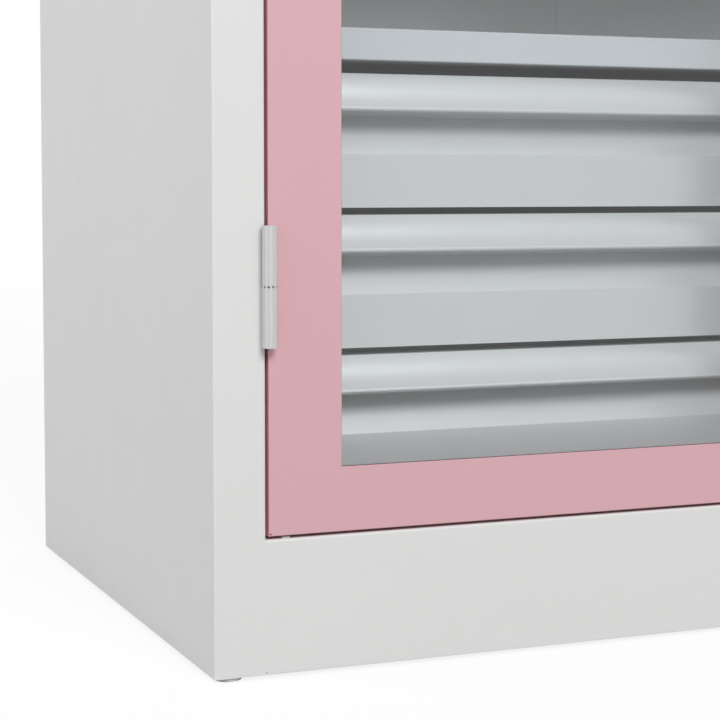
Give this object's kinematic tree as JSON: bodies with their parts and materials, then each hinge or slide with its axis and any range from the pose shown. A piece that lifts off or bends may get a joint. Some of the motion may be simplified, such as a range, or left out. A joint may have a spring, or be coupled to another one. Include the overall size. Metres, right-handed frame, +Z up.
{
  "type": "storage cabinet",
  "caption": "Low sheet-steel storage cabinet with windowed doors on lift-off hinges, a lever lock with locking rods, full-width drawers and adjustable shelves.",
  "frame": {"origin": "on the floor under the middle of the whole cabinet", "axes": "+X to the right as seen by someone facing the doors, +Y to the back, +Z up"},
  "size_m": [1, 0.534, 1.0028],
  "materials": {
    "grey_paint": "light grey satin powder coat",
    "hinge_paint": "light grey satin powder coat over turned steel",
    "rose_paint": "dusty rose satin powder coat",
    "drawer_paint": "light grey satin powder coat",
    "shelf_paint": "cool light grey satin powder coat",
    "clear_pane": "clear polished sheet",
    "zinc_steel": "bright zinc plated",
    "key_metal": "satin chrome",
    "dark_plastic": "fine grained black",
    "foot_plastic": "light grey moulded",
    "white_nylon": "white moulded nylon",
    "buffer_rubber": "matt black"
  },
  "bodies": {
    "carcass": {"left_side_wall": "grey_paint", "right_side_wall": "grey_paint", "top_panel": "grey_paint", "plinth_panel": "grey_paint", "floor_panel": "grey_paint", "back_panel": "grey_paint", "door_stops": "grey_paint", "corner_plates": "grey_paint", "glide_feet": "foot_plastic", "foot_nuts": "zinc_steel", "shelf_uprights": "grey_paint", "lower_shelf": "shelf_paint", "upper_shelf": "shelf_paint", "shelf_clips": "zinc_steel", "left_runner_panel": "grey_paint", "right_runner_panel": "grey_paint", "runner_spacers": "grey_paint", "lower_fixed_rails": "zinc_steel", "middle_fixed_rails": "zinc_steel", "upper_fixed_rails": "zinc_steel", "left_frame_knuckles": "hinge_paint", "right_frame_knuckles": "hinge_paint", "left_hinge_pins": "zinc_steel", "right_hinge_pins": "zinc_steel", "hinge_washers": "hinge_paint", "door_pads": "white_nylon", "door_buffers": "buffer_rubber"},
    "left_door": {"left_door_frame": "rose_paint", "left_window_pane": "clear_pane", "left_pane_retainers": "zinc_steel", "left_retainer_studs": "zinc_steel", "left_door_knuckles": "hinge_paint"},
    "right_door": {"right_door_frame": "rose_paint", "right_window_pane": "clear_pane", "right_pane_retainers": "zinc_steel", "right_retainer_studs": "zinc_steel", "right_door_knuckles": "hinge_paint", "escutcheon": "dark_plastic", "rod_guides": "white_nylon"},
    "handle": {"lever_handle": "dark_plastic", "lock_spindle": "zinc_steel", "lock_cam": "zinc_steel"},
    "key": {"key_plug": "key_metal"},
    "upper_rod": {"upper_locking_rod": "zinc_steel"},
    "lower_rod": {"lower_locking_rod": "zinc_steel"},
    "lower_drawer": {"lower_drawer_front": "drawer_paint", "lower_drawer_end_caps": "drawer_paint", "lower_drawer_box": "drawer_paint", "lower_moving_rails": "zinc_steel"},
    "middle_drawer": {"middle_drawer_front": "drawer_paint", "middle_drawer_end_caps": "drawer_paint", "middle_drawer_box": "drawer_paint", "middle_moving_rails": "zinc_steel"},
    "upper_drawer": {"upper_drawer_front": "drawer_paint", "upper_drawer_end_caps": "drawer_paint", "upper_drawer_box": "drawer_paint", "upper_moving_rails": "zinc_steel"}
  },
  "joints": [
    {"name": "left_door_swing", "type": "hinge", "parent": "carcass", "child": "left_door", "pos_m": [-0.4627, -0.23867, 0.263], "axis": [0, 0, -1], "range_deg": [0, 175]},
    {"name": "right_door_swing", "type": "hinge", "parent": "carcass", "child": "right_door", "pos_m": [0.4627, -0.23867, 0.263], "axis": [0, 0, 1], "range_deg": [0, 175]},
    {"name": "lower_drawer_slide", "type": "slide", "parent": "carcass", "child": "lower_drawer", "axis": [0, -1, 0], "range_m": [0, 0.28]},
    {"name": "middle_drawer_slide", "type": "slide", "parent": "carcass", "child": "middle_drawer", "axis": [0, -1, 0], "range_m": [0, 0.28]},
    {"name": "upper_drawer_slide", "type": "slide", "parent": "carcass", "child": "upper_drawer", "axis": [0, -1, 0], "range_m": [0, 0.28]},
    {"name": "handle_turn", "type": "hinge", "parent": "right_door", "child": "handle", "pos_m": [0.02305, -0.233, 0.53022], "axis": [0, -1, 0], "range_deg": [0, 90]},
    {"name": "key_turn", "type": "hinge", "parent": "handle", "child": "key", "pos_m": [0.02305, -0.267, 0.53022], "axis": [0, -1, 0], "range_deg": [0, 90]},
    {"name": "upper_rod_throw", "type": "slide", "parent": "right_door", "child": "upper_rod", "axis": [0, 0, 1], "range_m": [0, 0.01061]},
    {"name": "lower_rod_throw", "type": "slide", "parent": "right_door", "child": "lower_rod", "axis": [0, 0, -1], "range_m": [0, 0.01061]}
  ],
  "couplings": [
    {"joint": "right_door_swing", "follows": "left_door_swing", "ratio": 1},
    {"joint": "lower_drawer_slide", "follows": "left_door_swing", "m_per_rad": 0.0916},
    {"joint": "middle_drawer_slide", "follows": "left_door_swing", "m_per_rad": 0.0916},
    {"joint": "upper_drawer_slide", "follows": "left_door_swing", "m_per_rad": 0.0916},
    {"joint": "upper_rod_throw", "follows": "handle_turn", "m_per_rad": 0.00675},
    {"joint": "lower_rod_throw", "follows": "handle_turn", "m_per_rad": 0.00675}
  ]
}
